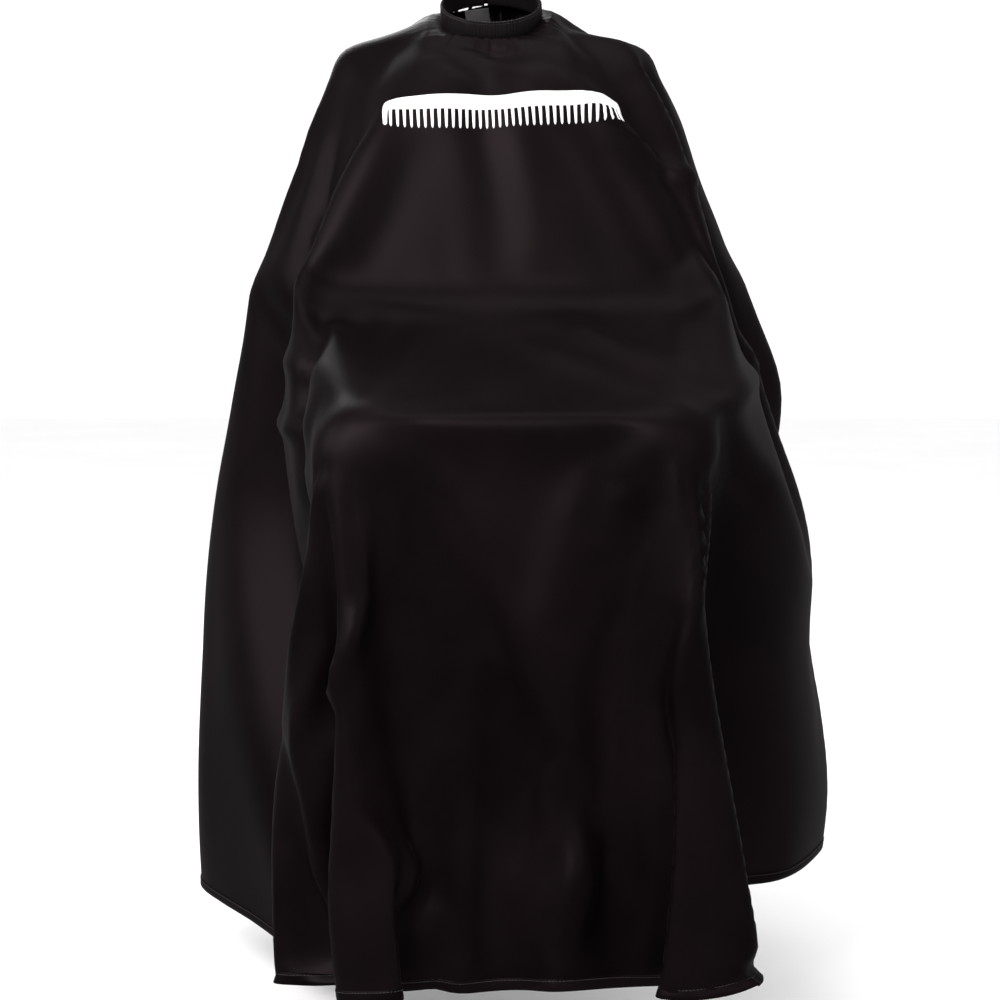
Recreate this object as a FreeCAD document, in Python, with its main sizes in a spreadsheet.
import FreeCAD
import Part
import math
import os
import Sketcher

# Barber cape, as it hangs on a seated wearer. Millimetres. The origin is the centre of the neck opening,
# +Z is up and the wearer faces -Y. The neckband is a real ring with its closure at the nape. The cloth is
# one sheet on the real cape; here it is cut into simple shells that don't overlap, round an open inside.

SIZES = [
    # neckband: a ring that leans forward with the neck
    ("neck_radius", 56, "inside radius of the closed neckband"),
    ("band_thickness", 3, "smooth neckband, two layers and interlining"),
    ("casing_thickness", 4, "gathered casing round the elastic"),
    ("band_height", 24, "height of the neckband"),
    ("band_lean", 28, "forward lean of the neckband, degrees"),
    ("elastic_height", 17, "height of the elastic strip"),
    ("elastic_thickness", 1.2, "thickness of the elastic strip"),
    ("casing_wall", 0.8, "cloth round the elastic"),
    ("casing_start", -29, "angle of the casing's end at the wearer's right, from the front"),
    ("casing_end", 105, "angle of the casing's end at the wearer's left"),
    ("band_end_left", -172, "angle where the wearer's right band ends at the nape"),
    ("band_end_right", 184, "angle where the wearer's left band ends, under the tail"),
    ("seam_gap", 0.5, "gap between neckband sections, degrees"),
    # closure
    ("tail_start", 143, "angle of the tail's free end"),
    ("tail_end", 187, "angle of the tail's root"),
    ("tail_stand_off", 3.6, "room for the snap fasteners between band and tail"),
    ("tail_thickness", 2, "closure tail"),
    ("snap_pitch", 19, "angle from snap to snap"),
    ("snap_first", 157, "angle of the first engaged snap"),
    ("snap_radius", 5.5, "snap disc"),
    ("cap_radius", 6.2, "snap cap"),
    ("cap_height", 1.6, "snap cap's dome"),
    ("stud_disc", 1.2, "stud's disc"),
    ("stud_reach", 3.0, "stud's height over the band"),
    ("stud_radius", 1.9, "stud's knob"),
    ("pin_radius", 0.8, "pin through the cloth"),
    ("snap_clearance", 0.4, "clearance between stud, socket and cloth"),
    # hanging loop and label
    ("loop_angle", -148, "angle of the hanging loop"),
    ("loop_radius", 60, "distance of the loop from the ring's axis"),
    ("loop_width", 26, "width of the loop over its two legs"),
    ("loop_length", 38, "length of the loop"),
    ("tape_width", 6, "tape of the loop"),
    ("tape_thickness", 1.2, "thickness of the tape"),
    ("loop_flare", 24, "degrees that the loop stands out from the ring's axis"),
    ("label_width", 30, "care label"),
    ("label_length", 40, "care label"),
    ("label_thickness", 0.6, "care label"),
    ("label_angle", -160, "angle of the care label"),
    ("label_radius", 50, "distance of the label's top from the ring's axis"),
    ("label_tilt", 30, "degrees that the label hangs in towards the neck"),
    # cloth: half widths to the wearer's right (negative x) and left, and drops below the neck
    ("cloth", 3, "thickness of the cloth's stand-in"),
    ("shoulder_half", 172, "half width at the shoulder corners"),
    ("shoulder_drop", 42, "shoulder corners"),
    ("elbow_right", 290, "the wearer's right elbow, at negative x"),
    ("elbow_left", 308, "the wearer's left elbow"),
    ("elbow_drop", 322, "elbows and lap fold"),
    ("knee_right", 168, "the wearer's right knee"),
    ("knee_left", 192, "the wearer's left knee"),
    ("knee_drop", 456, "fold over the knees"),
    ("knee_reach", 505, "front of the knees"),
    ("lap_reach", 166, "front of the lap fold"),
    ("front_hem_right", 212, "front panel's half width at the hem"),
    ("front_hem_left", 256, "front panel's half width at the hem"),
    ("front_hem_drop", 1008, "front hem"),
    ("side_hem_right", 350, "half width of the side drape at its hem"),
    ("side_hem_left", 402, "half width of the side drape at its hem"),
    ("side_hem_drop", 960, "side hem"),
    ("back_reach", 150, "rear of the side drapes at elbow height"),
    ("back_hem_drop", 700, "back hem"),
    ("back_hem_reach", 240, "rear of the back hem"),
    ("slit", 5, "half of the back slit"),
    ("panel_gap", 2, "gap between neighbouring shells"),
    # print on the chest
    ("print_width", 276, "comb print"),
    ("print_height", 38, "comb print"),
    ("print_drop", 95, "top of the comb print"),
    ("print_thickness", 0.4, "print film"),
    ("print_shift", 14, "centre of the print towards the wearer's left"),
    ("print_reach", 87, "front of the print's upper ends"),
    ("chest_slope", 0.34, "how far the chest comes forward per drop"),
    ("comb_teeth", 34, "number of gaps between teeth"),
    ("comb_pitch", 7, "pitch of the teeth"),
]

doc = FreeCAD.newDocument("barber_cape")
sheet = doc.addObject("Spreadsheet::Sheet", "Sizes")
for row, (alias, number, note) in enumerate(SIZES, start=1):
    sheet.set(f"A{row}", alias)
    sheet.set(f"B{row}", str(number))
    sheet.set(f"C{row}", note)
    sheet.setAlias(f"B{row}", alias)
doc.recompute()
SIZE = {alias: float(sheet.get(alias)) for alias, _, _ in SIZES}

parts = {}


# ---------------------------------------------------------------- helpers

def value(expression):
    """The number that an expression over the sheet gives."""
    return float(sheet.evalExpression(str(expression)))


def origin_feature(body, role):
    return next(item for item in body.Origin.OriginFeatures if item.Role == role)


def new_body(label):
    body = doc.addObject("PartDesign::Body", label)
    body.Label = label
    body.AllowCompound = True
    parts[label] = body
    return body


def new_sketch(body, role, offset="0", turn="0"):
    """A sketch on an origin plane, moved along the plane's normal or turned about its upright axis."""
    sketch = body.newObject("Sketcher::SketchObject", body.Label + "_sketch")
    sketch.AttachmentSupport = [(origin_feature(body, role), "")]
    sketch.MapMode = "FlatFace"
    upright = FreeCAD.Rotation(FreeCAD.Vector(0, 1, 0), value(turn))
    sketch.AttachmentOffset = FreeCAD.Placement(FreeCAD.Vector(0, 0, value(offset)), upright)
    if offset != "0":
        sketch.setExpression("AttachmentOffset.Base.z", offset)
    if turn != "0":
        sketch.setExpression("AttachmentOffset.Rotation.Angle", turn)
    return sketch


def bind(sketch, constraint, expression):
    """Adds a dimension and ties it to the sheet."""
    index = sketch.addConstraint(constraint)
    sketch.setExpression(f"Constraints[{index}]", expression)


def place_point(sketch, edge, end, at_x, at_y):
    """Ties a point of the sketch to its place from the origin."""
    bind(sketch, Sketcher.Constraint("DistanceX", -1, 1, edge, end, value(at_x)), at_x)
    bind(sketch, Sketcher.Constraint("DistanceY", -1, 1, edge, end, value(at_y)), at_y)


def polygon(sketch, corners):
    """A closed outline through corners given as pairs of expressions."""
    first = sketch.GeometryCount
    points = [FreeCAD.Vector(value(x), value(y), 0) for x, y in corners]
    for here, following in zip(points, points[1:] + points[:1]):
        sketch.addGeometry(Part.LineSegment(here, following))
    count = len(points)
    for i, (x, y) in enumerate(corners):
        before = first + (i - 1) % count
        sketch.addConstraint(Sketcher.Constraint("Coincident", before, 2, first + i, 1))
        place_point(sketch, first + i, 1, x, y)


def arc_band(sketch, start, end, bulge, thickness):
    """A thin band: an outer arc bulging to the left of the way from start to end, and its offset."""
    x1, y1, x2, y2, rise = (value(term) for term in (*start, *end, bulge))
    radius_text = (f"((({end[0]}) - ({start[0]}))^2 + (({end[1]}) - ({start[1]}))^2 + 4 * ({bulge})^2)"
                   f" / (8 * ({bulge}))")
    radius = value(radius_text)
    chord = math.hypot(x2 - x1, y2 - y1)
    left = (-(y2 - y1) / chord, (x2 - x1) / chord)
    centre = FreeCAD.Vector((x1 + x2) / 2 + left[0] * (rise - radius),
                            (y1 + y2) / 2 + left[1] * (rise - radius), 0)
    from_end = math.atan2(y2 - centre.y, x2 - centre.x)
    to_start = math.atan2(y1 - centre.y, x1 - centre.x)
    if to_start < from_end:
        to_start += 2 * math.pi
    normal = FreeCAD.Vector(0, 0, 1)
    outer = Part.ArcOfCircle(Part.Circle(centre, normal, radius), from_end, to_start)
    inner_text = f"{radius_text} - {thickness}"
    inner = Part.ArcOfCircle(Part.Circle(centre, normal, value(inner_text)), from_end, to_start)
    sketch.addGeometry(outer)
    sketch.addGeometry(Part.LineSegment(outer.StartPoint, inner.StartPoint))
    sketch.addGeometry(inner)
    sketch.addGeometry(Part.LineSegment(inner.EndPoint, outer.EndPoint))
    for first, first_end, second, second_end in ((0, 1, 1, 1), (1, 2, 2, 1), (2, 2, 3, 1), (3, 2, 0, 2),
                                                 (0, 3, 2, 3)):
        sketch.addConstraint(Sketcher.Constraint("Coincident", first, first_end, second, second_end))
    for line in (1, 3):
        sketch.addConstraint(Sketcher.Constraint("PointOnObject", 0, 3, line))
    place_point(sketch, 0, 2, *start)
    place_point(sketch, 0, 1, *end)
    bind(sketch, Sketcher.Constraint("Radius", 0, radius), radius_text)
    bind(sketch, Sketcher.Constraint("Radius", 2, value(inner_text)), inner_text)


def cloth_shell(label, role, sections, thickness="Sizes.cloth"):
    """A shell of cloth lofted through arc bands on parallel planes: (offset, start, end, bulge) each."""
    body = new_body(label)
    sketches = []
    for offset, start, end, bulge in sections:
        sketch = new_sketch(body, role, offset)
        arc_band(sketch, start, end, bulge, thickness)
        sketches.append(sketch)
    doc.recompute()
    loft = body.newObject("PartDesign::AdditiveLoft", label + "_loft")
    loft.Profile = sketches[0]
    loft.Sections = sketches[1:]
    loft.Ruled = True
    body.Tip = loft
    doc.recompute()
    return body


def pocket(body, sketch, both_ways=False):
    """Cuts an outline through the body: along the sketch's normal, or both ways."""
    doc.recompute()
    before = body.Shape.Volume
    cut = body.newObject("PartDesign::Pocket", body.Label + "_cut")
    cut.Profile = sketch
    cut.Type = "ThroughAll"
    if both_ways:
        cut.Midplane = True
    else:
        cut.Reversed = True
    body.Tip = cut
    doc.recompute()
    if not body.Shape.Volume < before:
        raise RuntimeError(f"{body.Label}: the cut removed nothing")
    return cut


def revolve(body, sketch, axis, angle):
    turn = body.newObject("PartDesign::Revolution", body.Label + "_turn")
    turn.Profile = sketch
    turn.ReferenceAxis = (sketch, [axis])
    turn.setExpression("Angle", str(angle))
    body.Tip = turn
    doc.recompute()
    return turn


def repeat(body, feature, count, pitch):
    """Repeats a feature round the ring's axis, count times at a pitch in degrees."""
    pattern = body.newObject("PartDesign::PolarPattern", body.Label + "_pattern")
    pattern.Originals = [feature]
    pattern.Axis = (origin_feature(body, "Z_Axis"), [""])
    pattern.Mode = "Spacing"
    pattern.Occurrences = count
    pattern.setExpression("Offset", pitch)
    body.Tip = pattern
    doc.recompute()


def lean_onto_neck(piece, angle, own=FreeCAD.Placement()):
    """Turns a piece drawn at +X round the neck to its angle from the front, and leans it with the neck."""
    turn = FreeCAD.Rotation(FreeCAD.Vector(0, 0, 1), value(angle) - 90)
    lean = FreeCAD.Rotation(FreeCAD.Vector(1, 0, 0), SIZE["band_lean"])
    piece.Placement = FreeCAD.Placement(FreeCAD.Vector(), lean.multiply(turn)).multiply(own)


# ---------------------------------------------------------------- neckband

BAND_OUTSIDE = "(Sizes.neck_radius + Sizes.band_thickness)"
TAIL_INSIDE = "(Sizes.neck_radius + Sizes.band_thickness + Sizes.tail_stand_off)"
HALF_BAND = "(Sizes.band_height / 2)"


def rectangle(sketch, inside, outside, half_height):
    polygon(sketch, [(inside, f"-{half_height}"), (outside, f"-{half_height}"),
                     (outside, half_height), (inside, half_height)])


def ring_section(label, start, end, inside, outside, half_height, reference=None):
    """A stretch of a flat ring round the neck, between two angles from the front."""
    reference = reference or start
    body = new_body(label)
    sketch = new_sketch(body, "XZ_Plane", turn=f"{start} - ({reference})")
    rectangle(sketch, inside, outside, half_height)
    doc.recompute()
    revolve(body, sketch, "V_Axis", f"{end} - ({start})")
    lean_onto_neck(body, reference)
    return body, sketch


def pin_holes(body, floor, count):
    """Holes for the pins of the snap fasteners, from a floor radius outwards."""
    sketch = new_sketch(body, "YZ_Plane", offset=floor)
    sketch.addGeometry(Part.Circle(FreeCAD.Vector(), FreeCAD.Vector(0, 0, 1), value(PIN_HOLE)))
    sketch.addConstraint(Sketcher.Constraint("Coincident", -1, 1, 0, 3))
    bind(sketch, Sketcher.Constraint("Radius", 0, value(PIN_HOLE)), PIN_HOLE)
    hole = pocket(body, sketch)
    repeat(body, hole, count, "Sizes.snap_pitch")


PIN_HOLE = "(Sizes.pin_radius + 0.1)"
STUDS_FROM = "(Sizes.snap_first - 2 * Sizes.snap_pitch)"


def make_neckband():
    casing_outside = "(Sizes.neck_radius + Sizes.casing_thickness)"
    casing = new_body("elastic_casing")
    section = new_sketch(casing, "XZ_Plane")
    rectangle(section, "Sizes.neck_radius", casing_outside, HALF_BAND)
    tunnel = "(Sizes.elastic_height / 2 + 0.5)"
    rectangle(section, "Sizes.neck_radius + Sizes.casing_wall", f"{casing_outside} - Sizes.casing_wall", tunnel)
    doc.recompute()
    revolve(casing, section, "V_Axis", "Sizes.casing_end - Sizes.casing_start")
    lean_onto_neck(casing, "Sizes.casing_start")

    elastic_inside = "(Sizes.neck_radius + Sizes.casing_thickness / 2 - Sizes.elastic_thickness / 2)"
    ring_section("neck_elastic", "Sizes.casing_start + Sizes.seam_gap", "Sizes.casing_end - Sizes.seam_gap",
                 elastic_inside, f"{elastic_inside} + Sizes.elastic_thickness", "(Sizes.elastic_height / 2)")
    ring_section("neckband_right", "Sizes.band_end_left", "Sizes.casing_start - Sizes.seam_gap",
                 "Sizes.neck_radius", BAND_OUTSIDE, HALF_BAND)
    band, _ = ring_section("neckband_left", "Sizes.casing_end + Sizes.seam_gap", "Sizes.band_end_right",
                           "Sizes.neck_radius", BAND_OUTSIDE, HALF_BAND, reference=STUDS_FROM)
    pin_holes(band, "Sizes.neck_radius + 1", STUD_COUNT)


# ---------------------------------------------------------------- closure at the nape

STUD_COUNT = 4
TAIL_SNAPS = 2


def snap_group(label, outline, count, reference):
    """Identical turned snap parts, whose axes point out from the neck, spaced round it."""
    body = new_body(label)
    sketch = new_sketch(body, "XZ_Plane")
    polygon(sketch, outline)
    doc.recompute()
    turned = revolve(body, sketch, "H_Axis", "360")
    repeat(body, turned, count, "Sizes.snap_pitch")
    lean_onto_neck(body, reference)


def make_closure():
    tail_outside = f"({TAIL_INSIDE} + Sizes.tail_thickness)"
    tail, _ = ring_section("closure_tail", "Sizes.tail_start", "Sizes.tail_end", TAIL_INSIDE, tail_outside,
                           HALF_BAND, reference="Sizes.snap_first")
    pin_holes(tail, f"{TAIL_INSIDE} - 1", TAIL_SNAPS)
    ring_section("tail_seam", "Sizes.tail_end + 1", "Sizes.tail_end + 7", f"{BAND_OUTSIDE}",
                 f"{TAIL_INSIDE} - 1", HALF_BAND)

    stud_face = f"{BAND_OUTSIDE} + Sizes.stud_disc"
    stud_top = f"{BAND_OUTSIDE} + Sizes.stud_reach"
    snap_group("band_snap_studs",
               [("Sizes.neck_radius + 1.2", "0"), ("Sizes.neck_radius + 1.2", "Sizes.pin_radius"),
                (BAND_OUTSIDE, "Sizes.pin_radius"), (BAND_OUTSIDE, "Sizes.snap_radius"),
                (stud_face, "Sizes.snap_radius"), (stud_face, "Sizes.stud_radius - 0.4"),
                (f"{stud_top} - 0.8", "Sizes.stud_radius"), (stud_top, "Sizes.stud_radius - 0.5"),
                (stud_top, "0")], STUD_COUNT, STUDS_FROM)
    socket_foot = f"{stud_face} + Sizes.snap_clearance"
    socket_top = f"{TAIL_INSIDE} - Sizes.snap_clearance"
    socket_hole = "Sizes.stud_radius + Sizes.snap_clearance"
    snap_group("tail_snap_sockets",
               [(socket_foot, socket_hole), (socket_foot, "Sizes.snap_radius - 0.6"),
                (f"{socket_foot} + 0.6", "Sizes.snap_radius"), (socket_top, "Sizes.snap_radius"),
                (socket_top, socket_hole)], TAIL_SNAPS, "Sizes.snap_first")
    snap_group("tail_snap_caps",
               [(f"{TAIL_INSIDE} - 0.2", "0"), (f"{TAIL_INSIDE} - 0.2", "Sizes.pin_radius"),
                (tail_outside, "Sizes.pin_radius"), (tail_outside, "Sizes.cap_radius"),
                (f"{tail_outside} + Sizes.cap_height * 0.4", "Sizes.cap_radius"),
                (f"{tail_outside} + Sizes.cap_height * 0.85", "Sizes.cap_radius * 0.7"),
                (f"{tail_outside} + Sizes.cap_height", "Sizes.cap_radius * 0.3"),
                (f"{tail_outside} + Sizes.cap_height", "0")], TAIL_SNAPS, "Sizes.snap_first")


# ---------------------------------------------------------------- loop and label at the nape

def make_loop():
    """A tape folded into a U, sewn under the neckband, which swings out and up from the cloth."""
    body = new_body("hanging_loop")
    sketch = new_sketch(body, "YZ_Plane")
    half = "Sizes.loop_width / 2"
    inner = f"({half} - Sizes.tape_width)"
    foot = "(Sizes.tape_width - Sizes.loop_length)"
    polygon(sketch, [(f"-({half})", "-0.5"), (f"-({half})", "-Sizes.loop_length"),
                     (half, "-Sizes.loop_length"), (half, "-0.5"), (inner, "-0.5"), (inner, foot),
                     (f"-{inner}", foot), (f"-{inner}", "-0.5")])
    doc.recompute()
    pad = body.newObject("PartDesign::Pad", "hanging_loop_pad")
    pad.Profile = sketch
    pad.setExpression("Length", "Sizes.tape_thickness")
    body.Tip = pad
    flare = FreeCAD.Rotation(FreeCAD.Vector(0, 1, 0), -SIZE["loop_flare"])
    hinge = FreeCAD.Vector(SIZE["loop_radius"], 0, -SIZE["band_height"] / 2)
    lean_onto_neck(body, "Sizes.loop_angle", FreeCAD.Placement(hinge, flare))


def make_label():
    label = doc.addObject("Part::Box", "care_label")
    label.Label = "care_label"
    label.setExpression("Length", "Sizes.label_thickness")
    label.setExpression("Width", "Sizes.label_width")
    label.setExpression("Height", "Sizes.label_length")
    parts["care_label"] = label
    tilt = FreeCAD.Rotation(FreeCAD.Vector(0, 1, 0), SIZE["label_tilt"])
    corner = FreeCAD.Vector(0, -SIZE["label_width"] / 2, -SIZE["label_length"])
    top = FreeCAD.Vector(SIZE["label_radius"], 0, -SIZE["band_height"] / 2 - 1)
    own = FreeCAD.Placement(top, tilt).multiply(FreeCAD.Placement(corner, FreeCAD.Rotation()))
    lean_onto_neck(label, "Sizes.label_angle", own)


# ---------------------------------------------------------------- cloth

def make_front():
    """Chest, lap and the front drop, which meet at the lap fold and over the knees."""
    cloth_shell("chest_cloth", "XY_Plane", [
        ("-Sizes.shoulder_drop - Sizes.panel_gap", ("Sizes.shoulder_half - 4", "-66"),
         ("4 - Sizes.shoulder_half", "-66"), "6"),
        ("Sizes.panel_gap - Sizes.elbow_drop", ("Sizes.elbow_left - 9", "-140"),
         ("9 - Sizes.elbow_right", "-140"), "Sizes.lap_reach - 140")])
    cloth_shell("lap_cloth", "XZ_Plane", [
        ("Sizes.lap_reach + 2 * Sizes.panel_gap", ("7 - Sizes.elbow_right", "-Sizes.elbow_drop - 4"),
         ("Sizes.elbow_left - 7", "-Sizes.elbow_drop - 4"), "10"),
        ("Sizes.knee_reach - 5", ("2 - Sizes.knee_right", "-Sizes.knee_drop - 2"),
         ("Sizes.knee_left - 2", "-Sizes.knee_drop - 2"), "6")])
    cloth_shell("front_cloth", "XY_Plane", [
        ("-Sizes.knee_drop - 3 * Sizes.panel_gap", ("Sizes.knee_left", "-Sizes.knee_reach + 13"),
         ("-Sizes.knee_right", "-Sizes.knee_reach + 13"), "13"),
        ("-Sizes.front_hem_drop", ("Sizes.front_hem_left", "-Sizes.knee_reach - 36"),
         ("-Sizes.front_hem_right", "-Sizes.knee_reach - 36"), "14")])


def make_side(side, sign, elbow, knee, side_hem, front_hem):
    """Shoulder, arm, side drape and half of the back, on the side that sign points to."""

    def across(front, back):
        """The two ends of a band whose outside faces away from the wearer, in the band's own order."""
        ends = [(f"{sign} * ({x})", y) for x, y in (front, back)]
        return ends if sign < 0 else ends[::-1]

    shoulder = [
        ("Sizes.neck_radius + 8", ("-58", "-40"), ("36", "-5"), "8"),
        ("Sizes.shoulder_half - Sizes.panel_gap", ("-60", "-Sizes.shoulder_drop"),
         ("70", "1 - Sizes.shoulder_drop"), "6")]
    cloth_shell(f"{side}_shoulder_cloth", "YZ_Plane",
                [(f"{sign} * ({offset})", start, end, bulge) for offset, start, end, bulge in shoulder])
    arm = [
        ("-Sizes.shoulder_drop - 2 * Sizes.panel_gap",
         *across(("Sizes.shoulder_half + 1", "-60"), ("Sizes.shoulder_half - 1", "74")), "10"),
        ("Sizes.panel_gap - Sizes.elbow_drop",
         *across((f"{elbow} - 7", "-126"), (f"{elbow} - 16", "Sizes.back_reach - 4")), "12")]
    cloth_shell(f"{side}_arm_cloth", "XY_Plane", arm)
    drape = [
        ("-Sizes.elbow_drop - 2 * Sizes.panel_gap",
         *across((knee, "-Sizes.knee_reach + 20"), (f"{elbow} - 16", "Sizes.back_reach")),
         f"0.46 * ({elbow} - {knee})"),
        ("-Sizes.side_hem_drop",
         *across((f"{front_hem} + 2", "-Sizes.knee_reach - 19"), (f"{elbow} + 4", "Sizes.back_reach + 46")),
         f"{side_hem} - 18 - ({elbow} + {front_hem}) / 2")]
    body = cloth_shell(f"{side}_side_cloth", "XY_Plane", drape)
    above_lap = new_sketch(body, "YZ_Plane")
    polygon(above_lap, [("-Sizes.knee_reach - 20", "20 - Sizes.elbow_drop"),
                        ("-Sizes.lap_reach", "20 - Sizes.elbow_drop"),
                        ("-Sizes.lap_reach", "-Sizes.elbow_drop - 10"),
                        ("-Sizes.knee_reach", "-Sizes.knee_drop - 12"),
                        ("-Sizes.knee_reach - 20", "-Sizes.knee_drop - 12")])
    pocket(body, above_lap, both_ways=True)
    back = [
        ("2", *across(("44", "40"), ("Sizes.slit", "55")), "4"),
        ("-Sizes.shoulder_drop", *across(("Sizes.shoulder_half - 8", "80"), ("Sizes.slit", "86")), "6"),
        ("-Sizes.elbow_drop", *across((f"{elbow} - 24", "Sizes.back_reach + 4"),
                                      ("Sizes.slit", "Sizes.back_reach + 10")), "12"),
        ("-Sizes.back_hem_drop", *across((elbow, "Sizes.back_hem_reach - 22"),
                                         ("Sizes.slit", "Sizes.back_hem_reach - 12")), "12")]
    cloth_shell(f"{side}_back_cloth", "XY_Plane", back)


def make_print():
    """A plain comb printed across the chest: a bar with a row of teeth below it."""
    half = "Sizes.print_width / 2"
    ends = [(f"Sizes.print_shift + {half}", "-Sizes.print_reach"),
            (f"Sizes.print_shift - {half}", "-Sizes.print_reach")]
    low_ends = [(x, "-Sizes.print_reach - Sizes.print_height * Sizes.chest_slope") for x, _ in ends]
    body = cloth_shell("chest_print", "XY_Plane", [
        ("-Sizes.print_drop", *ends, "5"),
        ("-Sizes.print_drop - Sizes.print_height", *low_ends, "5")], thickness="Sizes.print_thickness")
    first = "(Sizes.print_shift - Sizes.comb_pitch * (Sizes.comb_teeth - 1) / 2)"
    gap = "Sizes.comb_pitch / 4"
    top = "(-Sizes.print_drop - Sizes.print_height * 0.4)"
    foot = "(-Sizes.print_drop - Sizes.print_height - 1)"
    sketch = new_sketch(body, "XZ_Plane")
    polygon(sketch, [(f"{first} - {gap}", foot), (f"{first} + {gap}", foot),
                     (f"{first} + {gap}", top), (f"{first} - {gap}", top)])
    slot = pocket(body, sketch, both_ways=True)
    row = body.newObject("PartDesign::LinearPattern", "chest_print_teeth")
    row.Originals = [slot]
    row.Direction = (origin_feature(body, "X_Axis"), [""])
    row.Mode = "Spacing"
    row.setExpression("Occurrences", "Sizes.comb_teeth")
    row.setExpression("Offset", "Sizes.comb_pitch")
    body.Tip = row


make_neckband()
make_closure()
make_loop()
make_label()
make_front()
make_side("right", -1, "Sizes.elbow_right", "Sizes.knee_right", "Sizes.side_hem_right",
          "Sizes.front_hem_right")
make_side("left", 1, "Sizes.elbow_left", "Sizes.knee_left", "Sizes.side_hem_left", "Sizes.front_hem_left")
make_print()
doc.recompute()

# ---------------------------------------------------------------- checks and files

for item in doc.Objects:
    if "Invalid" in item.State or "Error" in item.State:
        raise RuntimeError(f"{item.Label} failed: {item.State}")
for name, part in parts.items():
    if part.Shape.isNull() or not part.Shape.isValid() or not part.Shape.Solids:
        raise RuntimeError(f"{name} has no valid solid")

os.makedirs("parts", exist_ok=True)
for name, part in parts.items():
    part.Shape.exportStep(f"parts/{name}.step")
    box = part.Shape.BoundBox
    print(f"{name}: {len(part.Shape.Solids)} solids, {part.Shape.Volume / 1000:.2f} cm3,"
          f" x {box.XMin:.0f}..{box.XMax:.0f} y {box.YMin:.0f}..{box.YMax:.0f} z {box.ZMin:.0f}..{box.ZMax:.0f}")
